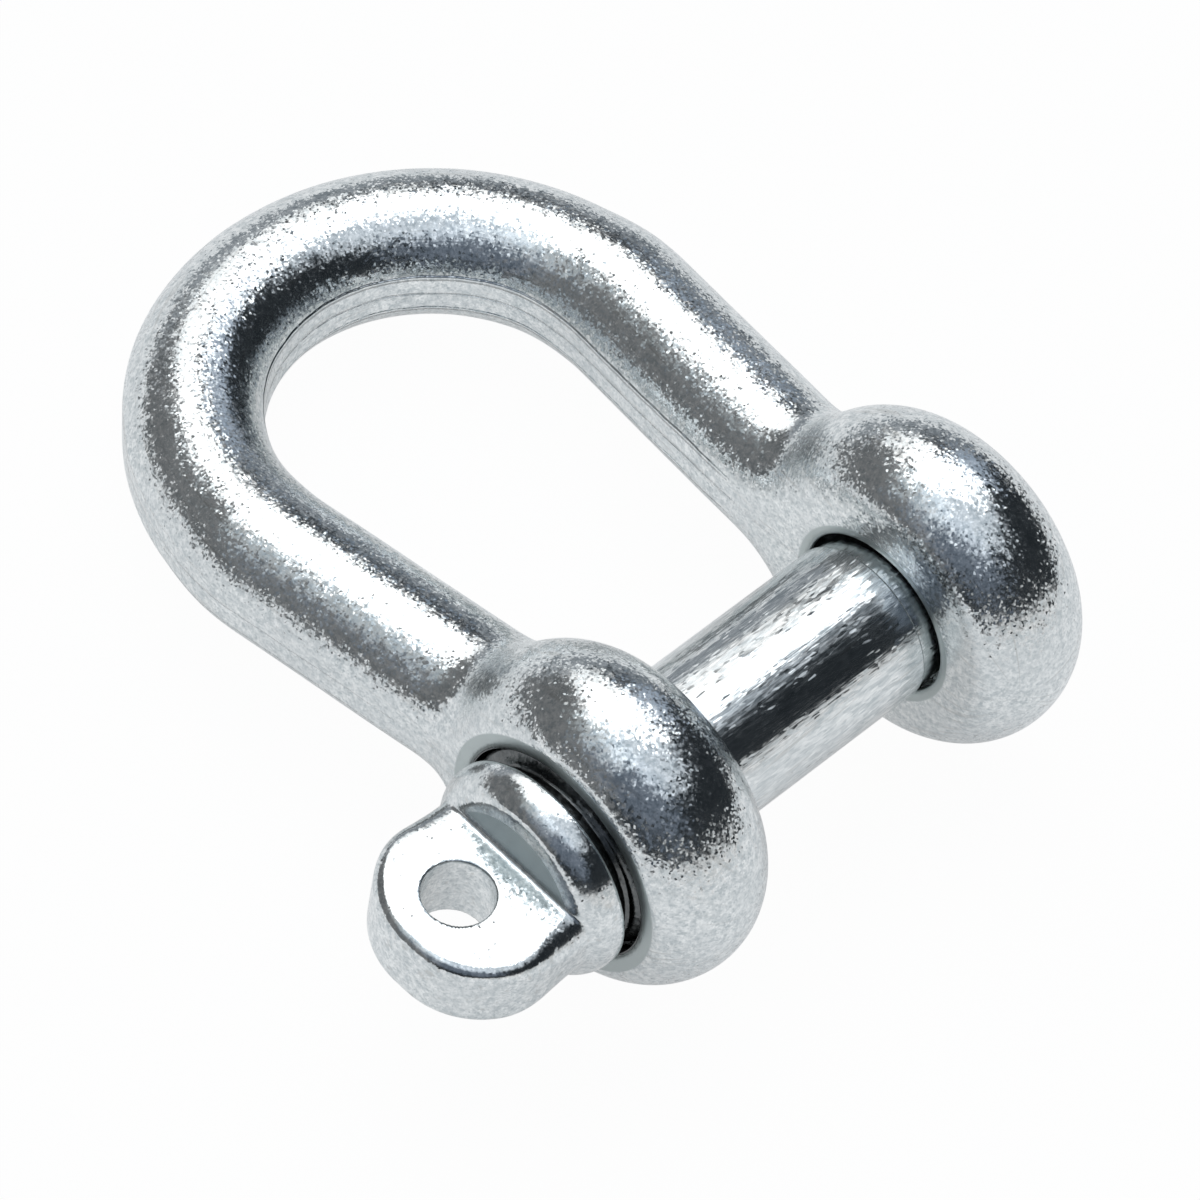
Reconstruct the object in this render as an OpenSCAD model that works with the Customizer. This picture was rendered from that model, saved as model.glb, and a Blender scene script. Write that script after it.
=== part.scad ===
// Forged D shackle with an eye screw pin, lying on its two eyes and on the crown of its bow.
// +Y runs along the pin, from its head to its plain end, +X points away from the crown and +Z is up.
// The origin is on the pin's axis, midway between the eyes.

/* [Bow] */
// Diameter of the round bar that the bow is bent from
bar_d = 16; // [13:0.5:18]
// Clear width of the jaw, between the eyes
jaw_w = 30; // [25:0.5:36]
// Inside length, from the pin's axis to the inside of the crown
inside_len = 65; // [58:0.5:80]
// Inside radius of the bend at the crown
crown_in_r = 17.5; // [15:0.5:19]
// How far the flat inner faces of the eyes run up the legs from the pin's axis
flat_len = 24; // [21:0.5:27]
// From the pin's axis to where a leg starts to swell toward its eye
neck_from = 22; // [20:0.5:26]
// From the pin's axis to where the swelling ends, inside the eye
neck_to = 12; // [11:0.25:13]
// How much the leg's radius grows along the swelling
neck_swell = 2.3; // [1:0.1:3]

/* [Eyes] */
// Outside diameter of each domed eye
eye_d = 37.5; // [35:0.5:42]
// Thickness of each eye between its flat faces
eye_t = 15.5; // [13:0.5:18]
// Diameter of the flat face round each hole
eye_flat_d = 28.5; // [27:0.25:32]

/* [Pin] */
// Outside diameter of the thread behind the head
thread_d = 23.5; // [21:0.25:25]
// Diameter of the plain shank across the jaw
shank_d = 18; // [15:0.25:20]
// Diameter of the thinner plain end in the far eye
end_d = 17.4; // [12:0.2:17.6]
// Gap under the head, because the pin is not screwed right home
head_gap = 1.5; // [0.5:0.1:3]
// Radius of the shoulder between shank and plain end
shoulder_r = 0.3; // [0.3:0.1:0.7]
// How far the plain end stays back from the far eye's outer face
end_inset = 1; // [0:0.25:3]
// Chamfer on the plain end
end_chamfer = 1.2; // [0.4:0.2:2]

/* [Head and tab] */
// Diameter of the round head at its back
head_d = 24; // [22:0.5:26]
// Length of the round head, up to the step of the tab
head_len = 4; // [3:0.25:6]
// Diameter of the domed head at the step
head_nose_d = 18.6; // [16:0.2:20]
// Height of the plain rim at the back of the head
head_rim = 1; // [0.5:0.1:2]
// Width of the tab over its rounded edges
tab_w = 21; // [20:0.5:23]
// Thickness of the tab between its flats
tab_t = 8.8; // [7:0.2:10]
// Radius of the tab's rounded edges
tab_edge_r = 1.8; // [0.8:0.1:2.5]
// Length of the tab, from the step to the tip
tab_len = 15; // [13:0.5:20]
// Corner radius of the tab's tip, over its rounded edges
tab_corner_r = 9.75; // [6:0.25:10]
// Diameter of the hole drilled through the tab
tab_hole_d = 7.8; // [5:0.2:9]
// From the step to the centre of the tab's hole
tab_hole_at = 6.9; // [6:0.1:8]
// How far the tab's hole was drilled off the middle of its width
tab_hole_off = -1; // [-1.5:0.25:1.5]
// How far the pin stands turned, from the tab lying level with the bow
tab_turn = 5; // [-40:1:40]

/* [Fits] */
// Radial clearance of the thread in the tapped eye
thread_gap = 0.3; // [0.2:0.05:0.6]
// Radial clearance of the shank's diameter in the plain eye
shank_gap = 0.3; // [0.3:0.05:1]
// How far the thread stops short of the jaw, inside its eye
thread_stop = 2; // [1:0.25:4]
// How far the cone behind the thread runs on into the jaw
cone_out = 0.5; // [0:0.25:2]

/* [Hidden] */
$fn = 96;
zinc = [0.76, 0.78, 0.80];
bright_zinc = [0.80, 0.82, 0.84];
past = 1;

bar_r = bar_d / 2;
eye_r = eye_d / 2;
eye_mid = jaw_w / 2 + eye_t / 2;
eye_face = jaw_w / 2 + eye_t;

// Rim of an eye: an arc from the edge of one flat face to the other, through the full diameter.
rim_drop = eye_r - eye_flat_d / 2;
rim_r = (pow(eye_t / 2, 2) + pow(rim_drop, 2)) / (2 * rim_drop);

// Each leg leaves the flats of its eye with the bar's inner side flush, and runs on to touch the crown's bend.
crown_r = crown_in_r + bar_r;
crown_x = inside_len - crown_in_r;
leg_from = [crown_x - flat_len, jaw_w / 2 + bar_r];
touch = atan2(leg_from.y, leg_from.x) + acos(crown_r / norm(leg_from));
lean = 90 - touch;
leg_len = (crown_x - crown_r * cos(touch)) / cos(lean);

// Hollow arc along which a leg swells.
neck_len = neck_from - neck_to;
hollow_r = (pow(neck_len, 2) + pow(neck_swell, 2)) / (2 * neck_swell);

// The shackle comes to rest on both eyes and on the crown.
rest_tilt = asin((eye_r - bar_r) / (crown_x + crown_r));

// Stations along the pin.
head_back = -(eye_face + head_gap);
thread_end = -(jaw_w / 2 + thread_stop);
shank_start = cone_out - jaw_w / 2;
shank_end = jaw_w / 2 - head_gap;
pin_end = eye_face - end_inset;
step_at = head_back - head_len;
tip_at = step_at - tab_len;

// Dome of the head: an arc from the rim at its back to its nose at the step.
dome_drop = (head_d - head_nose_d) / 2;
dome_len = head_len - head_rim;
dome_r = (pow(dome_len, 2) + pow(dome_drop, 2)) / (2 * dome_drop);

module resting() {
  rotate([0, -rest_tilt, 0]) children();
}

module both_sides() {
  children();
  mirror([0, 1, 0]) children();
}

// Turned about the pin's axis: a profile's x is its radius and its y is the station along the pin.
module turned_on_pin() {
  rotate([-90, 0, 0]) rotate_extrude() children();
}

// The bar from the crown to the eye, with its swelling at the end.
module leg_profile() {
  neck_r = bar_r + neck_swell;
  square([bar_r, leg_len]);
  translate([0, leg_len - neck_to]) square([neck_r, neck_to]);
  difference() {
    translate([0, leg_len - neck_from]) square([neck_r, neck_len]);
    translate([bar_r + hollow_r, leg_len - neck_from]) circle(hollow_r);
  }
}

// One side's bar: a straight leg from the crown's bend to the eye, and the bend to past its middle.
module half_bar() {
  translate([crown_r * cos(touch) - crown_x, crown_r * sin(touch), 0]) rotate([0, 90, -lean]) {
    rotate_extrude() leg_profile();
    translate([0, -crown_r, 0])
      rotate([0, -90, 0])
        rotate([0, 0, 90])
          rotate_extrude(angle = 180 - touch + past)
            translate([crown_r, 0]) circle(bar_r);
  }
}

// The domed eye before its faces are cut flat.
module eye_profile() {
  translate([0, -rim_r]) square([eye_r - rim_r, 2 * rim_r]);
  intersection() {
    translate([eye_r - rim_r, 0]) circle(rim_r);
    translate([0, -rim_r]) square([eye_r, 2 * rim_r]);
  }
}

// One side of the bow, trimmed at the bow's middle and at both flat faces of its eye.
module half_bow() {
  difference() {
    union() {
      half_bar();
      translate([0, eye_mid, 0]) turned_on_pin() eye_profile();
    }
    translate([-2 * inside_len, -2 * bar_d, -eye_d])
      cube([2 * inside_len, 2 * bar_d, 2 * eye_d]);
    translate([-crown_x, -past, -eye_d])
      cube([crown_x + eye_d, jaw_w / 2 + past, 2 * eye_d]);
    translate([0, eye_face, 0])
      rotate([-90, 0, 0]) cylinder(r = eye_r + past, h = eye_d);
  }
}

module eye_hole(radius, side) {
  translate([0, side * eye_mid, 0])
    rotate([90, 0, 0]) cylinder(r = radius, h = eye_t + 2 * past, center = true);
}

// One forging: bent bar, two legs and two domed eyes, the head's eye bored for the thread.
module bow() {
  color(zinc) resting() difference() {
    both_sides() half_bow();
    eye_hole(thread_d / 2 + thread_gap, -1);
    eye_hole(shank_d / 2 + shank_gap, 1);
  }
}

module head_profile() {
  translate([0, -head_rim]) square([head_d / 2, head_rim]);
  intersection() {
    translate([0, -head_len]) square([head_d / 2, head_len]);
    union() {
      translate([0, -head_len]) square([head_nose_d / 2, head_len]);
      translate([head_d / 2 - dome_r, -head_rim]) circle(dome_r);
    }
  }
}

// Thread, cone, shank, rounded shoulder and chamfered plain end, as one turned outline.
module stem_profile() {
  translate([0, head_back]) square([thread_d / 2, thread_end - head_back]);
  polygon([
    [0, thread_end], [thread_d / 2, thread_end], [shank_d / 2, shank_start],
    [shank_d / 2, shank_end - shoulder_r], [0, shank_end - shoulder_r]
  ]);
  translate([0, shank_end - shoulder_r]) square([shank_d / 2 - shoulder_r, shoulder_r]);
  intersection() {
    translate([shank_d / 2 - shoulder_r, shank_end - shoulder_r]) circle(shoulder_r);
    translate([shank_d / 2 - shoulder_r, shank_end - shoulder_r]) square(shoulder_r);
  }
  polygon([
    [0, shank_end], [end_d / 2, shank_end], [end_d / 2, pin_end - end_chamfer],
    [end_d / 2 - end_chamfer, pin_end], [0, pin_end]
  ]);
}

// Cross-section of the tab's plate, with its edges rounded.
module tab_section(width) {
  square([width - 2 * tab_edge_r, tab_t], center = true);
  square([width, tab_t - 2 * tab_edge_r], center = true);
  for (side = [-1, 1], face = [-1, 1])
    translate([side * (width / 2 - tab_edge_r), face * (tab_t / 2 - tab_edge_r)]) circle(tab_edge_r);
}

module tab_corner() {
  rotate_extrude() intersection() {
    tab_section(2 * tab_corner_r);
    translate([0, -tab_t / 2]) square([tab_corner_r, tab_t]);
  }
}

// A flat plate with a rounded tip, which runs into the head.
module tab() {
  corner_x = tab_w / 2 - tab_corner_r;
  corner_y = tip_at + tab_corner_r;
  root_y = head_back - head_rim;
  translate([0, root_y, 0]) rotate([90, 0, 0]) linear_extrude(root_y - corner_y) tab_section(tab_w);
  translate([-corner_x, (tip_at + root_y) / 2, 0])
    rotate([90, 0, 90]) linear_extrude(2 * corner_x) tab_section(root_y - tip_at);
  for (side = [-1, 1]) translate([side * corner_x, corner_y, 0]) tab_corner();
}

// One piece from tab to plain end, turned a little in its thread.
module screw_pin() {
  color(bright_zinc) resting() rotate([0, tab_turn, 0]) difference() {
    union() {
      turned_on_pin() {
        stem_profile();
        translate([0, head_back]) head_profile();
      }
      tab();
    }
    translate([tab_hole_off, step_at - tab_hole_at, 0])
      cylinder(d = tab_hole_d, h = tab_t + 2 * past, center = true);
  }
}

bow();
screw_pin();
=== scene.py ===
import math
import bmesh
import bpy
from mathutils import Matrix, Vector


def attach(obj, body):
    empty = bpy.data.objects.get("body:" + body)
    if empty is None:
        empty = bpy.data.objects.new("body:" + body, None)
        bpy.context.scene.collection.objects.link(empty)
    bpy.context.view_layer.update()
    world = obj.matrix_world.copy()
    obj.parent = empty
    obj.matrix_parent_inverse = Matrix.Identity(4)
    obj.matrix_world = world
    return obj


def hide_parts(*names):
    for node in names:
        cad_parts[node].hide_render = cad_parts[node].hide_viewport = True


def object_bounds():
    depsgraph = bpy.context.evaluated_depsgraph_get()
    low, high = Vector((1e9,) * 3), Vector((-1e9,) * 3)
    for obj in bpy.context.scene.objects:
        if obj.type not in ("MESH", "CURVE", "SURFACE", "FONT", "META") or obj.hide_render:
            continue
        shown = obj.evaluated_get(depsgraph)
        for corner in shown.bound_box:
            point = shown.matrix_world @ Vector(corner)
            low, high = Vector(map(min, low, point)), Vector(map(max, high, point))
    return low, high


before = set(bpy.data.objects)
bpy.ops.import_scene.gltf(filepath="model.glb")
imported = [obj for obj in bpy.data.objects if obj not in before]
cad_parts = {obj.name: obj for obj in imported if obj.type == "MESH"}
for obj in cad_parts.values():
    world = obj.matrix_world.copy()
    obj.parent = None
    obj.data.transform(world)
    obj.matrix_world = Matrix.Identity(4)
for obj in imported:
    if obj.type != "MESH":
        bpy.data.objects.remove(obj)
cad_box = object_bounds()

# Bow: one steel forging, a round bar bent to a D and swollen at its ends into two domed eyes, zinc plated.
# Its surface is the rule "bar along the D, joined to two domes by a hollow neck, trimmed flat at the jaw",
# grown in Geometry Nodes from a field of distances and settled on it, so that every blend is smooth.
MM = 0.001
WELD = 0.001 * MM
BAR_R = 8 * MM
JAW_HALF = 15 * MM
EYE_T = 15.5 * MM
EYE_FLAT_R = 14.25 * MM
CROWN_IN_R = 17.5 * MM
FLAT_LEN = 24 * MM
BOW_SIZES = {
    "Bar Radius": BAR_R,
    "Crown Radius": CROWN_IN_R + BAR_R,
    "Crown Distance": 47.5 * MM,
    "Crown Wear": 0.3 * MM,
    "Leg Reach": 46 * MM,
    "Jaw Half": JAW_HALF,
    "Eye Radius": 18.75 * MM,
    "Eye Middle": JAW_HALF + EYE_T / 2,
    "Eye Face": JAW_HALF + EYE_T,
    "Neck Hollow": 5 * MM,
    "Jaw Edge": 1.5 * MM,
    "Face Edge": 0.35 * MM,
    "Flash Trim": 0.35 * MM,
    "Hole Edge": 0.7 * MM,
    "Near Hole": 12.1 * MM,
    "Far Hole": 9.3 * MM,
    "Tap Relief": 1.0 * MM,
    "Unevenness": 0.16 * MM,
}
EYE_DROP = BOW_SIZES["Eye Radius"] - EYE_FLAT_R
BOW_SIZES["Rim Radius"] = ((EYE_T / 2) ** 2 + EYE_DROP ** 2) / (2 * EYE_DROP)
LEG_X = BOW_SIZES["Crown Distance"] - FLAT_LEN
LEG_Y = JAW_HALF + BAR_R
TOUCH = math.atan2(LEG_Y, LEG_X) + math.acos(BOW_SIZES["Crown Radius"] / math.hypot(LEG_X, LEG_Y))
BOW_SIZES["Leg Lean"] = math.pi / 2 - TOUCH
REST_TILT = math.asin(
    (BOW_SIZES["Eye Radius"] - BAR_R) / (BOW_SIZES["Crown Distance"] + BOW_SIZES["Crown Radius"])
)
FLASH_EDGE = 0.2 * MM
JAW_RUNS_OUT_AT = 0.75
JAW_RUN_OUT = 4.0
FACE_RUNS_OUT_AT = 0.9
FACE_RUN_OUT = 0.45
RELIEF_FROM = 0.5 * MM
RELIEF_TO = 2.0 * MM
UNEVEN_DETAIL = 3.0
UNEVEN_ABOUT = 0.3
BOW_UNEVEN_SCALE = 70.0
BOW_GRAIN = 0.45 * MM
BOW_LOW = (-84 * MM, -36 * MM, -21 * MM)
BOW_HIGH = (21 * MM, 36 * MM, 21 * MM)


class Wire:
    """One socket of a node tree. Sums on it add Math nodes, and put() adds any other node."""

    def __init__(self, tree, socket=None):
        self.tree = tree
        self.socket = socket

    def put(self, kind, settings=None, inputs=None, out=0):
        node = self.tree.nodes.new(kind)
        for name, value in (settings or {}).items():
            setattr(node, name, value)
        for name, value in (inputs or {}).items():
            if isinstance(value, Wire):
                self.tree.links.new(value.socket, node.inputs[name])
            else:
                node.inputs[name].default_value = value
        return Wire(self.tree, node.outputs[out])

    def sum(self, operation, *terms):
        return self.put("ShaderNodeMath", {"operation": operation}, dict(enumerate(terms)))

    def vector(self, operation, *terms, out=0):
        return self.put("ShaderNodeVectorMath", {"operation": operation}, dict(enumerate(terms)), out)

    def xyz(self):
        return [self.put("ShaderNodeSeparateXYZ", None, {0: self}, k) for k in range(3)]

    def __add__(self, other):
        return self.sum("ADD", self, other)

    def __sub__(self, other):
        return self.sum("SUBTRACT", self, other)

    def __rsub__(self, other):
        return self.sum("SUBTRACT", other, self)

    def __mul__(self, other):
        return self.sum("MULTIPLY", self, other)

    def __truediv__(self, other):
        return self.sum("DIVIDE", self, other)

    def __neg__(self):
        return self.sum("MULTIPLY", self, -1.0)

    def __abs__(self):
        return self.sum("ABSOLUTE", self)

    __radd__ = __add__
    __rmul__ = __mul__

    def most(self, other):
        return self.sum("MAXIMUM", self, other)

    def least(self, other):
        return self.sum("MINIMUM", self, other)

    def above(self, other):
        return self.sum("GREATER_THAN", self, other)

    def join(self, other, radius):
        return self.sum("SMOOTH_MIN", self, other, radius)

    def trim(self, other, radius):
        return self.sum("SMOOTH_MAX", self, other, radius)

    def reach(self, other):
        return self.sum("SQRT", self * self + other * other)

    def between(self, low, high):
        return self.put("ShaderNodeMapRange", {"interpolation_type": "SMOOTHSTEP"},
                        {"Value": self, "From Min": low, "From Max": high})


def shape_tree(name, sizes):
    tree = bpy.data.node_groups.new(name, "GeometryNodeTree")
    tree.interface.new_socket("Mesh", in_out="OUTPUT", socket_type="NodeSocketGeometry")
    for size in sizes:
        tree.interface.new_socket(size, in_out="INPUT", socket_type="NodeSocketFloat")
    given = tree.nodes.new("NodeGroupInput")
    return tree, {size: Wire(tree, given.outputs[size]) for size in sizes}


def grown(tree, field, low, high, grain):
    """Mesh the zero of a field of distances, then settle the mesh on it in two steps along the slope."""
    start = Wire(tree)
    position = start.put("GeometryNodeInputPosition")
    counts = [int((b - a) / grain) + 1 for a, b in zip(low, high)]
    inside = 10 * MM
    volume = start.put("GeometryNodeVolumeCube", None, {
        "Density": inside - field(position), "Background": 0.0, "Min": low, "Max": high,
        "Resolution X": counts[0], "Resolution Y": counts[1], "Resolution Z": counts[2],
    })
    mesh = start.put("GeometryNodeVolumeToMesh", None, {"Volume": volume, "Threshold": inside})
    step = 0.05 * MM
    for _ in range(2):
        here = field(position)
        slope = []
        for k in range(3):
            aside = [0.0, 0.0, 0.0]
            aside[k] = step
            slope.append((field(position.vector("ADD", position, aside)) - here) / step)
        steep = slope[0] * slope[0] + slope[1] * slope[1] + slope[2] * slope[2]
        back = -here / steep
        offset = start.put("ShaderNodeCombineXYZ", None, {k: s * back for k, s in enumerate(slope)})
        mesh = start.put("GeometryNodeSetPosition", None, {"Geometry": mesh, "Offset": offset})
    return mesh


def made(name, tree, sizes, mesh, finish):
    start = Wire(tree)
    mesh = start.put("GeometryNodeSetShadeSmooth", None, {"Geometry": mesh})
    mesh = start.put("GeometryNodeRealizeInstances", None, {"Geometry": mesh})
    mesh = start.put("GeometryNodeSetMaterial", None, {"Geometry": mesh, "Material": finish})
    out = tree.nodes.new("NodeGroupOutput")
    tree.links.new(mesh.socket, out.inputs["Mesh"])
    piece = bpy.data.objects.new(name, bpy.data.meshes.new(name))
    bpy.context.scene.collection.objects.link(piece)
    modifier = piece.modifiers.new("shape", "NODES")
    modifier.node_group = tree
    for item in tree.interface.items_tree:
        if item.in_out == "INPUT":
            modifier[item.identifier] = sizes[item.name]
    depsgraph = bpy.context.evaluated_depsgraph_get()
    result = bpy.data.meshes.new_from_object(
        piece.evaluated_get(depsgraph), preserve_all_data_layers=True, depsgraph=depsgraph
    )
    piece.modifiers.remove(modifier)
    shell = bmesh.new()
    shell.from_mesh(result)
    bmesh.ops.remove_doubles(shell, verts=shell.verts, dist=WELD)
    bmesh.ops.recalc_face_normals(shell, faces=shell.faces)
    shell.to_mesh(result)
    shell.free()
    piece.data = result
    result.name = name
    return piece


def uneven(position, scale):
    """Noise about a value below its own middle, so that the skin lies just inside the solids."""
    noise = position.put("ShaderNodeTexNoise", None,
                         {"Vector": position, "Scale": scale, "Detail": UNEVEN_DETAIL})
    return noise - UNEVEN_ABOUT


bow_tree, bow = shape_tree("bow_shape", BOW_SIZES)
lean = bow["Leg Lean"]
lean_cos = lean.sum("COSINE", lean)
lean_sin = lean.sum("SINE", lean)
touch_x = bow["Crown Radius"] * lean_sin - bow["Crown Distance"]
touch_y = bow["Crown Radius"] * lean_cos


def bow_field(position):
    x, y, z = position.xyz()
    side = abs(y)
    along = (x - touch_x) * lean_cos - (side - touch_y) * lean_sin
    run = along.most(0.0).least(bow["Leg Reach"])
    leg = (x - touch_x - run * lean_cos).reach(side - touch_y + run * lean_sin)
    from_crown = x + bow["Crown Distance"]
    arc = abs(from_crown.reach(side) - bow["Crown Radius"])
    in_crown = (-along).above(0.0)
    sideways = leg + in_crown * (arc - leg)
    thinner = bow["Crown Wear"] * (-from_crown).between(0.0, bow["Bar Radius"])
    bar = sideways.reach(z) - bow["Bar Radius"] + thinner
    bar = bar.trim(sideways - bow["Bar Radius"] + bow["Flash Trim"] + thinner, FLASH_EDGE)
    out = x.reach(z)
    across = abs(side - bow["Eye Middle"])
    dome = (out - bow["Eye Radius"] + bow["Rim Radius"]).most(0.0).reach(across) - bow["Rim Radius"]
    skin = bar.join(dome, bow["Neck Hollow"])
    past_neck = (-x - bow["Crown Distance"] * JAW_RUNS_OUT_AT).most(0.0)
    skin = skin.trim(bow["Jaw Half"] - side - past_neck * JAW_RUN_OUT, bow["Jaw Edge"])
    beside_eye = (-x - bow["Eye Radius"] * FACE_RUNS_OUT_AT).most(0.0)
    skin = skin.trim(side - bow["Eye Face"] - beside_eye * FACE_RUN_OUT, bow["Face Edge"])
    depth = bow["Eye Face"] - bow["Eye Middle"] - across
    near = bow["Near Hole"] + bow["Tap Relief"] * depth.between(RELIEF_FROM, RELIEF_TO)
    hole = near + y.above(0.0) * (bow["Far Hole"] - near)
    skin = skin.trim(hole - out, bow["Hole Edge"])
    return skin + bow["Unevenness"] * uneven(position, BOW_UNEVEN_SCALE)


BRIGHT_ZINC = (0.98, 0.995, 0.99)
GREY_ZINC = (0.5, 0.55, 0.57)
CLOUDED_ZINC = (0.74, 0.77, 0.78)
STREAKED_ZINC = (0.55, 0.56, 0.55)
# Painted shade: a darker tone for the turned rings, for the pin head that the near ring mirrors, and for
# the milled step.
MACHINED_SHADED_ZINC = (0.52, 0.57, 0.57)
CLOUD_SCALE = 150.0
CLOUD_EDGE = (0.35, 0.65)
CLOUD_SHARE = 0.3
CLOUD_ROUGH = 0.05
STREAK_EDGE = (0.58, 0.72)
STREAK_SHARE = 0.6
DENT_SCALE = 0.3
DENT_EDGE = (0.32, 0.68)
DENT_LEAN = 0.36
CLEAR_LEAN = 0.6
CLOUD_LEAN = 0.8
STEEPEST_LEAN = 0.26
MACHINED_ROUGH = 0.2
LINE_DEPTH = 0.18 * MM


def zinc(name, crystals, tilt, streak_of, streak_depth, rough, shade=1.0, line_of=None, turned_of=None):
    """Zinc plate: crystals that each lean their own way, over shallow dents, mottled by clouds and streaks.

    On the faces that turned_of marks as machined, the crystals lie flat, the metal is duller, and its tone
    is painted darker as painted shade.
    """
    finish = bpy.data.materials.new(name)
    finish.use_nodes = True
    tree = finish.node_tree
    shader = tree.nodes["Principled BSDF"]
    start = Wire(tree)
    place = start.put("ShaderNodeTexCoord", out="Object")

    def noise(where, scale, roughness=0.65, out=0):
        return start.put("ShaderNodeTexNoise", None,
                         {"Vector": where, "Scale": scale, "Detail": 2.0, "Roughness": roughness}, out)

    # shade scales every tone down; below 1, as on the thread, it is painted shade.
    def shaded(colour):
        return (*[part * shade for part in colour], 1)

    def blend(share, one, two):
        return start.put("ShaderNodeMix", {"data_type": "RGBA"}, {0: share, 6: one, 7: shaded(two)}, 2)

    def leaning(cell):
        return cell.vector("SUBTRACT", cell, (0.5, 0.5, 0.5))

    def scaled(way, size):
        return start.put("ShaderNodeVectorMath", {"operation": "SCALE"}, {0: way, "Scale": size})

    cloud = noise(place, CLOUD_SCALE).between(*CLOUD_EDGE)
    streak = noise(streak_of(start, place), 1.0)
    where = place.vector("MULTIPLY", place, crystals)
    crystal = start.put("ShaderNodeTexVoronoi", None, {"Vector": where, "Scale": 1.0}, "Color")
    dent = noise(where, DENT_SCALE, 0.6, "Color")
    crystal_lean = leaning(crystal)
    steep = crystal_lean.vector("DOT_PRODUCT", crystal_lean, crystal_lean, out=1)
    steep = (steep * tilt * (CLEAR_LEAN + CLOUD_LEAN * cloud)).least(STEEPEST_LEAN)
    dented = tilt * DENT_LEAN
    rough = rough + CLOUD_ROUGH * cloud
    speck = crystal.xyz()[0] * 0.5 + dent.xyz()[0].between(*DENT_EDGE) * 0.5
    tone = blend(speck, shaded(BRIGHT_ZINC), GREY_ZINC)
    tone = blend(cloud * CLOUD_SHARE, tone, CLOUDED_ZINC)
    tone = blend(streak.between(*STREAK_EDGE) * STREAK_SHARE, tone, STREAKED_ZINC)
    if turned_of:
        dull_and_shaded = turned_of(place)
        steep = (1 - dull_and_shaded) * steep
        dented = (1 - dull_and_shaded) * dented
        rough = rough + MACHINED_ROUGH * dull_and_shaded
        # The machined faces take the darker tone: painted shade.
        tone = blend(dull_and_shaded, tone, MACHINED_SHADED_ZINC)
    normal = start.put("ShaderNodeBump", None,
                       {"Strength": 1.0, "Distance": streak_depth, "Height": streak})
    if line_of:
        normal = start.put("ShaderNodeBump", None, {
            "Strength": 1.0, "Distance": LINE_DEPTH, "Height": line_of(start, place), "Normal": normal,
        })
    normal = normal.vector("ADD", normal, scaled(crystal_lean, steep))
    normal = normal.vector("ADD", normal, scaled(leaning(dent), dented))
    normal = normal.vector("NORMALIZE", normal)
    shader.inputs["Metallic"].default_value = 1.0
    tree.links.new(tone.socket, shader.inputs["Base Color"])
    tree.links.new(rough.socket, shader.inputs["Roughness"])
    tree.links.new(normal.socket, shader.inputs["Normal"])
    return finish


LENGTH_SCALE = 110.0
AROUND_SCALE = 1600.0
SIDE_SCALE = 60.0
OUTER_RING_FACE = (BOW_SIZES["Eye Face"] - 0.6 * MM, BOW_SIZES["Eye Face"] - 0.3 * MM)
OUTER_RING_EDGE = (EYE_FLAT_R - 0.45 * MM, EYE_FLAT_R - 0.2 * MM)
INNER_RING_FACE = (JAW_HALF + 0.5 * MM, JAW_HALF + 0.9 * MM)
INNER_RING_EDGE = (10.3 * MM, 10.6 * MM)
FLASH_FLAT_EDGE = math.sqrt(2 * BAR_R * BOW_SIZES["Flash Trim"])
FLASH_BEAD = (0.05 * MM, 0.4 * MM)
FLASH_GROOVE = (0.02 * MM, 0.16 * MM)
FLASH_INSIDE = (AROUND_SCALE * BAR_R * 1.2, AROUND_SCALE * BAR_R * 1.9)
FLASH_OFF_EYE = (16 * MM, 30 * MM)
FLASH_ON_OUTSIDE = 0.25
RAGGED_SCALE = 130.0
RAGGED = 0.8 * MM


def drawn_bar(start, place):
    """The bar's drawing marks, by the mesh's own measure of length, way round and side."""
    return start.put("ShaderNodeAttribute", {"attribute_name": "draw"}, None, 1)


def turned_rings(place):
    """The rings that a tool faced round the holes: both outer ones, and the one inside the far eye. Their
    darker tone is painted shade, for the dark pin head that the near ring mirrors.
    """
    x, y, z = place.xyz()
    out = x.reach(z)
    side = abs(y)
    outer = side.between(*OUTER_RING_FACE) * (1 - out.between(*OUTER_RING_EDGE))
    inner = (1 - side.between(*INNER_RING_FACE)) * y.above(0.0) * (1 - out.between(*INNER_RING_EDGE))
    return outer.most(inner)


def flash_lines(start, place):
    """The lines left along the bar where the dies met, clearer inside the bow than outside."""
    x, y, z = place.xyz()
    level = z * math.cos(REST_TILT) - x * math.sin(REST_TILT)
    ragged = start.put("ShaderNodeTexNoise", None, {"Vector": place, "Scale": RAGGED_SCALE, "Detail": 2.0})
    level = level + (ragged - 0.5) * RAGGED
    bead = 1 - abs(abs(level) - FLASH_FLAT_EDGE).between(*FLASH_BEAD)
    groove = 1 - abs(level).between(*FLASH_GROOVE)
    inside = abs(drawn_bar(start, place).xyz()[1]).between(*FLASH_INSIDE)
    clear = FLASH_ON_OUTSIDE + (1 - FLASH_ON_OUTSIDE) * inside
    return (bead - groove) * clear * (-x).between(*FLASH_OFF_EYE)


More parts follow.
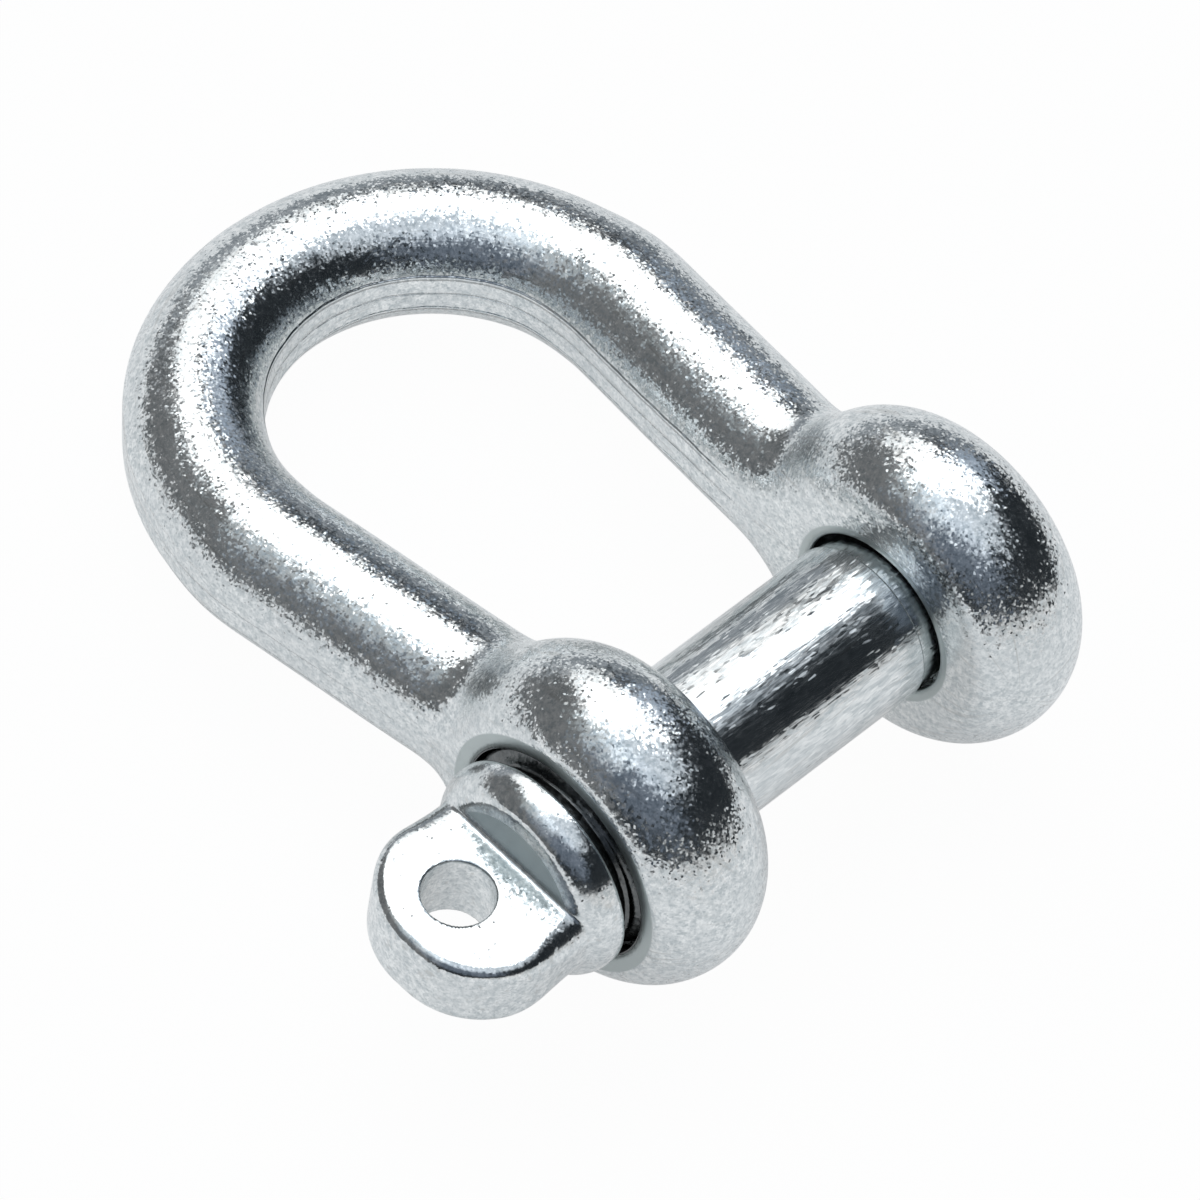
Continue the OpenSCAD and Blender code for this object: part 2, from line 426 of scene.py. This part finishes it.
bow_mesh = grown(bow_tree, bow_field, BOW_LOW, BOW_HIGH, BOW_GRAIN)
spot = Wire(bow_tree).put("GeometryNodeInputPosition")
bow_x, bow_y, bow_z = spot.xyz()
beside = abs(bow_y)
leg_way = (bow_x - touch_x) * lean_cos - (beside - touch_y) * lean_sin
leg_off = (bow_x - touch_x) * lean_sin + (beside - touch_y) * lean_cos
bend = bow_x + bow["Crown Distance"]
crown_way = (beside.sum("ARCTAN2", beside, -bend) - math.pi / 2 - lean) * bow["Crown Radius"]
crown_off = bend.reach(beside) - bow["Crown Radius"]
on_leg = leg_way.above(0.0)
length_way = crown_way + on_leg * (leg_way - crown_way)
off_line = crown_off + on_leg * (leg_off - crown_off)
around = bow_z.sum("ARCTAN2", bow_z, off_line) * bow["Bar Radius"]
draw = spot.put("ShaderNodeCombineXYZ", None, {
    0: length_way * LENGTH_SCALE, 1: around * AROUND_SCALE, 2: bow_y * SIDE_SCALE,
})
bow_mesh = spot.put("GeometryNodeStoreNamedAttribute", {"data_type": "FLOAT_VECTOR", "domain": "POINT"},
                    {"Geometry": bow_mesh, "Name": "draw", "Value": draw})
bow_mesh = spot.put("GeometryNodeTransform", None,
                    {"Geometry": bow_mesh, "Rotation": (0.0, -REST_TILT, 0.0)})
plated_bow = zinc("zinc_on_forging", crystals=(4200.0, 4200.0, 4200.0), tilt=0.7, streak_of=drawn_bar,
                  streak_depth=0.02 * MM, rough=0.16, line_of=flash_lines, turned_of=turned_rings)
bow_forging = made("bow_forging", bow_tree, BOW_SIZES, bow_mesh, plated_bow)
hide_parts("bow")
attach(bow_forging, "bow_body")

# Tapped hole: the thread cut in the eye beside the pin's head. Its zinc is painted dark: painted shade for
# the deep gap between the head and the eye.
# It is built as a closed sleeve, threaded inside, set in the relieved bore of the forging. Lead and relief
# shape only the pin's thread, so here their radii lie out of reach.
THREAD_PITCH = 3 * MM
OUT_OF_REACH = 20 * MM
SLEEVE_R = 13.05 * MM
TAP_SIZES = {
    "Start": -30.2 * MM,
    "End": -15.3 * MM,
    "Pitch": THREAD_PITCH,
    "Crest Radius": 12.05 * MM,
    "Root Radius": 12.95 * MM,
    "Lead Radius": OUT_OF_REACH,
    "Lead Slope": 1.0,
    "Relief Radius": OUT_OF_REACH,
    "Relief Length": 0.0,
}
THREAD_ROWS = 20
THREAD_COLUMNS = 120
THREAD_WELD = 0.002 * MM
FLANK = (0.1, 0.85)
PLAIN_END = 0.2 * MM
RUN_OUT = 0.6
RELIEF_SLOPE = 2.0
WHOLE_TURNS = 10.0


def thread(name, sizes):
    """A grid wound round the pin's axis along a helix, with flanks, a run-out, a lead and a relief."""
    tree, given = shape_tree(name, sizes)
    start = Wire(tree)
    turns = math.ceil((sizes["End"] - sizes["Start"]) / sizes["Pitch"]) + 1
    grid = start.put("GeometryNodeMeshGrid", None, {
        "Size X": 1.0, "Size Y": 1.0,
        "Vertices X": THREAD_COLUMNS + 1, "Vertices Y": turns * THREAD_ROWS + 1,
    })
    across, up, _ = start.put("GeometryNodeInputPosition").xyz()
    angle = (across + 0.5) * math.tau
    height = given["Start"] + given["Pitch"] * (up * float(turns) + turns / 2 - 1 + across + 0.5)
    height = height.most(given["Start"]).least(given["End"])
    phase = (height - given["Start"]) / given["Pitch"] - across - 0.5
    phase = phase.sum("FRACT", phase + WHOLE_TURNS)
    flank = (abs(phase - 0.5) * 2.0).between(*FLANK)
    from_end = (height - given["Start"]).least(given["End"] - height)
    deep = (1 - flank) * from_end.between(PLAIN_END, given["Pitch"] * RUN_OUT)
    radius = given["Crest Radius"] + (given["Root Radius"] - given["Crest Radius"]) * deep
    radius = radius.least(given["Lead Radius"] + (given["End"] - height) * given["Lead Slope"])
    past_relief = (height - given["Start"] - given["Relief Length"]).most(0.0)
    radius = radius.least(given["Relief Radius"] + past_relief * RELIEF_SLOPE)
    spot = start.put("ShaderNodeCombineXYZ", None, {
        0: radius * angle.sum("SINE", angle), 1: height, 2: radius * angle.sum("COSINE", angle),
    })
    mesh = start.put("GeometryNodeSetPosition", None, {"Geometry": grid, "Position": spot})
    mesh = start.put("GeometryNodeMergeByDistance", None, {"Geometry": mesh, "Distance": THREAD_WELD})
    return tree, mesh


def close_ends(piece, back=None):
    """Close a thread's two open ends, by caps, or by a plain wall behind it at the radius back."""
    shell = bmesh.new()
    shell.from_mesh(piece.data)
    rim = [edge for edge in shell.edges if edge.is_boundary]
    for edge in rim:
        edge.smooth = False
    if back is None:
        bmesh.ops.holes_fill(shell, edges=rim)
    else:
        skirt = bmesh.ops.extrude_edge_only(shell, edges=rim)["geom"]
        for corner in [part for part in skirt if isinstance(part, bmesh.types.BMVert)]:
            grow = back / math.hypot(corner.co.x, corner.co.z)
            corner.co.x *= grow
            corner.co.z *= grow
        bmesh.ops.bridge_loops(shell, edges=[edge for edge in shell.edges if edge.is_boundary])
    bmesh.ops.recalc_face_normals(shell, faces=shell.faces)
    shell.to_mesh(piece.data)
    shell.free()


def turned_grain(start, place):
    """Fine marks drawn out along the pin."""
    return start.put("ShaderNodeMapping", None, {"Vector": place, "Scale": (1500.0, 120.0, 1500.0)})


# Painted shade: the thread's zinc is darkened to a fifth by shade, for the dark gap behind the pin head.
thread_zinc_painted_shade = zinc("zinc_on_thread_painted_shade", crystals=(3000.0, 3000.0, 3000.0), tilt=0.4, streak_of=turned_grain,
                     streak_depth=0.01 * MM, rough=0.25, shade=0.2)
tap_tree, tap_mesh = thread("tapped_wall", TAP_SIZES)
tapped_hole = made("tapped_hole", tap_tree, TAP_SIZES, tap_mesh, thread_zinc_painted_shade)
close_ends(tapped_hole, SLEEVE_R)
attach(tapped_hole, "bow_body")

# Pin head and tab: the pin's forged end, a round head with a rolled shoulder, milled down on both sides to
# a flat tab with one drilled hole. Zinc plated with the rest of the pin, duller and painted darker on the
# milled step.
HEAD_BACK = 32 * MM
TAB_TURN = math.radians(5) - REST_TILT
HEAD_SIZES = {
    "Head Back": HEAD_BACK,
    "Head Radius": 12 * MM,
    "Head Length": 4.6 * MM,
    "Rim": 0.9 * MM,
    "Shoulder": 3.7 * MM,
    "Step Lean": math.radians(5),
    "Tab Half Width": 10.5 * MM,
    "Tab Half Thickness": 4.4 * MM,
    "Tab Length": 14.4 * MM,
    "Tab Corner": 9.75 * MM,
    "Tab Edge": 1.4 * MM,
    "Root Edge": 1.8 * MM,
    "Step Fillet": 0.8 * MM,
    "Hole Radius": 3.75 * MM,
    "Hole From Step": 6.6 * MM,
    "Hole Aside": -0.8 * MM,
    "Unevenness": 0.06 * MM,
}
BACK_EDGE = 0.8 * MM
STEP_EDGE = 0.4 * MM
TAB_HOLE_EDGE = 0.3 * MM
TAB_STARTS_AT = 0.25
ROOT_ENDS_AT = 3.0
HEAD_UNEVEN_SCALE = 90.0
HEAD_GRAIN = 0.24 * MM
HEAD_LOW = (-13.2 * MM, -52.5 * MM, -13.2 * MM)
HEAD_HIGH = (13.2 * MM, -31 * MM, 13.2 * MM)
STEP_AT = HEAD_SIZES["Head Length"]
STEP_FROM = (STEP_AT - 0.9 * MM, STEP_AT - 0.6 * MM)
STEP_TO = (STEP_AT + 0.1 * MM, STEP_AT + 0.3 * MM)
STEP_OVER_TAB = (HEAD_SIZES["Tab Half Thickness"] + 0.3 * MM, HEAD_SIZES["Tab Half Thickness"] + 0.7 * MM)
STEP_FLAT_R = HEAD_SIZES["Head Radius"] - HEAD_SIZES["Shoulder"]
STEP_RIM = (STEP_FLAT_R + 0.2 * MM, STEP_FLAT_R + 0.5 * MM)
head_tree, pin = shape_tree("pin_head_shape", HEAD_SIZES)


def head_field(position):
    x, y, z = position.xyz()
    front = -y - pin["Head Back"]
    out = x.reach(z)
    head = (out - pin["Head Radius"] + pin["Shoulder"]).most(0.0).reach((front - pin["Rim"]).most(0.0))
    head = (head - pin["Shoulder"]).trim(-front, BACK_EDGE)
    above_tab = (abs(z) - pin["Tab Half Thickness"]).most(0.0)
    lean = pin["Step Lean"]
    step = (front - pin["Head Length"]) * lean.sum("COSINE", lean) + above_tab * lean.sum("SINE", lean)
    head = head.trim(step, STEP_EDGE)
    wide = abs(x) - pin["Tab Half Width"] + pin["Tab Corner"]
    long = front - pin["Head Length"] - pin["Tab Length"] + pin["Tab Corner"]
    plan = wide.most(0.0).reach(long.most(0.0)) + wide.most(long).least(0.0) - pin["Tab Corner"]
    plan = plan.most(pin["Head Length"] * TAB_STARTS_AT - front)
    past_root = front.between(pin["Head Length"], pin["Head Length"] * ROOT_ENDS_AT)
    edge = pin["Tab Edge"] + pin["Root Edge"] * (1 - past_root)
    side = plan + edge
    flat = abs(z) - pin["Tab Half Thickness"] + edge
    tab = side.most(0.0).reach(flat.most(0.0)) + side.most(flat).least(0.0) - edge
    skin = head.join(tab, pin["Step Fillet"])
    from_hole = (x - pin["Hole Aside"]).reach(front - pin["Head Length"] - pin["Hole From Step"])
    skin = skin.trim(pin["Hole Radius"] - from_hole, TAB_HOLE_EDGE)
    return skin + pin["Unevenness"] * uneven(position, HEAD_UNEVEN_SCALE)


def milled_step(place):
    """The face that the mill left on the head, above and below the tab, which takes the same painted darker
    tone.
    """
    x, y, z = place.xyz()
    front = -y - HEAD_BACK
    on_step = front.between(*STEP_FROM) * (1 - front.between(*STEP_TO))
    over_tab = abs(z).between(*STEP_OVER_TAB)
    return on_step * over_tab * (1 - x.reach(z).between(*STEP_RIM))


def forged_grain(start, place):
    """Marks that run no way in particular."""
    return start.put("ShaderNodeMapping", None, {"Vector": place, "Scale": (700.0, 700.0, 700.0)})


head_mesh = grown(head_tree, head_field, HEAD_LOW, HEAD_HIGH, HEAD_GRAIN)
head_mesh = head_mesh.put("GeometryNodeTransform", None,
                          {"Geometry": head_mesh, "Rotation": (0.0, TAB_TURN, 0.0)})
plated_head = zinc("zinc_on_head", crystals=(4200.0, 4200.0, 4200.0), tilt=0.28, streak_of=forged_grain,
                   streak_depth=0.02 * MM, rough=0.13, turned_of=milled_step)
pin_head = made("pin_head", head_tree, HEAD_SIZES, head_mesh, plated_head)
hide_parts("screw_pin")
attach(pin_head, "pin_body")

# Pin thread: a coarse screw cut on the pin's own bar right behind the head, where an undercut lets the tool
# run out. A cone leads it down to the shank. It sits in the tapped eye and carries the load there.
SHANK_R = 9 * MM
SHANK_FROM = -14.5 * MM
STEM_SIZES = {
    "Start": -HEAD_BACK,
    "End": SHANK_FROM,
    "Pitch": THREAD_PITCH,
    "Crest Radius": 11.75 * MM,
    "Root Radius": 10.5 * MM,
    "Lead Radius": SHANK_R,
    "Lead Slope": 1.1,
    "Relief Radius": 10.2 * MM,
    "Relief Length": 1.6 * MM,
}
stem_tree, stem_mesh = thread("pin_thread_shape", STEM_SIZES)
# The pin's thread shares the thread zinc and its painted shade.
pin_thread = made("pin_thread", stem_tree, STEM_SIZES, stem_mesh, thread_zinc_painted_shade)
close_ends(pin_thread)
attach(pin_thread, "pin_body")

# Pin shank: the plain round across the jaw, turned from the same bar, with a rolled shoulder before the
# thinner end that sits in the far eye. The zinc on it shows fine marks along the pin.
END_R = 8.7 * MM
SHOULDER_FROM = 13.2 * MM
SHOULDER_R = 0.3 * MM
SHOULDER_STEPS = 8
PIN_END = 29.5 * MM
END_CHAMFER = 1.2 * MM
ROUND_STEPS = 160
SHARP_EDGE = math.radians(35)
profile = [(0.0, SHANK_FROM), (SHANK_R, SHANK_FROM)]
for k in range(SHOULDER_STEPS + 1):
    corner = math.pi / 2 * k / SHOULDER_STEPS
    profile.append((END_R + SHOULDER_R * math.cos(corner), SHOULDER_FROM + SHOULDER_R * math.sin(corner)))
profile += [(END_R, PIN_END - END_CHAMFER), (END_R - END_CHAMFER, PIN_END), (0.0, PIN_END)]
bar = bmesh.new()
points = [bar.verts.new((r, y, 0)) for r, y in profile]
edges = [bar.edges.new(pair) for pair in zip(points, points[1:])]
bmesh.ops.spin(bar, geom=points + edges, cent=(0, 0, 0), axis=(0, 1, 0), angle=math.tau, steps=ROUND_STEPS)
bmesh.ops.remove_doubles(bar, verts=bar.verts, dist=WELD)
bmesh.ops.recalc_face_normals(bar, faces=bar.faces)
shank_mesh = bpy.data.meshes.new("pin_shank")
bar.to_mesh(shank_mesh)
bar.free()
shank_mesh.shade_smooth()
shank_mesh.set_sharp_from_angle(angle=SHARP_EDGE)
plated_shank = zinc("zinc_on_shank", crystals=(4800.0, 1200.0, 4800.0), tilt=0.3, streak_of=turned_grain,
                    streak_depth=0.04 * MM, rough=0.14)
shank_mesh.materials.append(plated_shank)
pin_shank = bpy.data.objects.new("pin_shank", shank_mesh)
bpy.context.scene.collection.objects.link(pin_shank)
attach(pin_shank, "pin_body")

# Stage: a white sheet under the object. The camera sees it almost pure white, and the metal sees it partly
# as a light of its own, as paper under studio light.
FLOOR_HALF = 4.0
PAPER = (0.93, 0.94, 0.94, 1)
WHITE = (1, 1, 1, 1)
WHITE_TO_EYE = 0.97
WHITE_IN_METAL = 0.46
floor_z = cad_box[0].z
floor = bpy.data.objects.new("floor", bpy.data.meshes.new("floor"))
floor_corners = [(x * FLOOR_HALF, y * FLOOR_HALF, floor_z) for x, y in ((-1, -1), (1, -1), (1, 1), (-1, 1))]
floor.data.from_pydata(floor_corners, [], [(0, 1, 2, 3)])
bpy.context.scene.collection.objects.link(floor)
sheet = bpy.data.materials.new("white_sheet")
sheet.use_nodes = True
start = Wire(sheet.node_tree)
seen = start.put("ShaderNodeLightPath", out="Is Camera Ray")
shiny = Wire(sheet.node_tree, seen.socket.node.outputs["Is Glossy Ray"])
through = Wire(sheet.node_tree, seen.socket.node.outputs["Is Transmission Ray"])
white = start.put("ShaderNodeEmission", None, {"Color": WHITE, "Strength": 1.0})
paper = start.put("ShaderNodeBsdfDiffuse", None, {"Color": PAPER})
share = (seen + through) * WHITE_TO_EYE + shiny * WHITE_IN_METAL
mixed = start.put("ShaderNodeMixShader", None, {0: share, 1: paper, 2: white})
sheet.node_tree.links.new(mixed.socket, sheet.node_tree.nodes["Material Output"].inputs["Surface"])
sheet.node_tree.nodes.remove(sheet.node_tree.nodes["Principled BSDF"])
floor.data.materials.append(sheet)

# Light: soft oval panels round the object, drawn in the world by their direction, in a dim room. Each has
# its azimuth, elevation, half width and half height in degrees, then its softness, its level and its tint.
DIM_ROOM = {0: 0.02, 1: 0.024, 2: 0.028}
PLAIN = (1, 1, 1)
COOL = (0.9, 0.97, 1.05)
BLUE = (0.8, 0.92, 1.1)
PANELS = (
    (240, 62, 30, 19, 0.25, 1.7, PLAIN),
    (244, 38, 13, 18, 0.35, 1.3, PLAIN),
    (200, 89, 30, 30, 0.5, 0.75, COOL),
    (322, 57, 20, 17, 0.5, 0.42, (0.94, 1.0, 1.02)),
    (310, 12, 50, 30, 0.8, 0.15, PLAIN),
    (200, 38, 11, 20, 0.5, 0.5, BLUE),
    (20, 48, 35, 25, 0.6, 0.17, (0.75, 0.88, 1.1)),
    (90, -2, 52, 17, 0.12, 0.72, PLAIN),
    (232, 6, 30, 12, 0.6, 0.28, COOL),
)
world = bpy.data.worlds.new("studio")
bpy.context.scene.world = world
world.use_nodes = True
start = Wire(world.node_tree)
way = start.put("ShaderNodeTexCoord", out="Generated")


def toward(azimuth, elevation):
    level = math.cos(elevation)
    return Vector((math.sin(azimuth) * level, -math.cos(azimuth) * level, math.sin(elevation)))


def panel(azimuth, elevation, half_wide, half_high, soft, level, tint):
    turn = math.radians(azimuth)
    middle = toward(turn, math.radians(elevation))
    right = Vector((math.cos(turn), math.sin(turn), 0))
    wide = right / math.tan(math.radians(half_wide))
    tall = middle.cross(right) / math.tan(math.radians(half_high))
    depth, across, high = (way.vector("DOT_PRODUCT", way, axis, out=1) for axis in (middle, wide, tall))
    depth = depth.most(0.001)
    across = across / depth
    high = high / depth
    lit = start.put("ShaderNodeMapRange", {"interpolation_type": "SMOOTHSTEP"}, {
        "Value": across * across + high * high,
        "From Min": (1 - soft) ** 2, "From Max": (1 + soft) ** 2, "To Min": level, "To Max": 0.0,
    })
    return start.put("ShaderNodeVectorMath", {"operation": "SCALE"}, {0: tint, "Scale": lit})


studio = start.put("ShaderNodeCombineXYZ", None, DIM_ROOM)
for light in PANELS:
    studio = studio.vector("ADD", studio, panel(*light))
seen = start.put("ShaderNodeLightPath", out="Is Camera Ray")
shown = start.put("ShaderNodeMix", {"data_type": "RGBA"}, {0: seen, 6: studio, 7: WHITE}, 2)
world.node_tree.links.new(shown.socket, world.node_tree.nodes["Background"].inputs["Color"])

# Camera: a long lens looking down on the pin head's side, rolled a little, as in the photograph.
# Its place was found by fitting the object's outline and inner edges.
VIEW_AZIMUTH = math.radians(32.36)
VIEW_ELEVATION = math.radians(55.62)
VIEW_ROLL = math.radians(16.32)
VIEW_AIM = Vector((-17.82 * MM, -7.04 * MM, 1.98 * MM))
VIEW_AWAY = 767.1 * MM
VIEW_ANGLE = math.radians(9)
back = toward(VIEW_AZIMUTH, VIEW_ELEVATION)
right = Vector((math.cos(VIEW_AZIMUTH), math.sin(VIEW_AZIMUTH), 0))
right = Matrix.Rotation(VIEW_ROLL, 3, back) @ right
stand = Matrix((right, back.cross(right), back)).transposed().to_4x4()
stand.translation = VIEW_AIM + back * VIEW_AWAY
lens = bpy.data.cameras.new("camera")
lens.sensor_width = 36
lens.lens = lens.sensor_width / 2 / math.tan(VIEW_ANGLE / 2)
lens.clip_start = 0.01
camera = bpy.data.objects.new("camera", lens)
bpy.context.scene.collection.objects.link(camera)
camera.matrix_world = stand
bpy.context.scene.camera = camera
bpy.context.scene.view_settings.view_transform = "Standard"
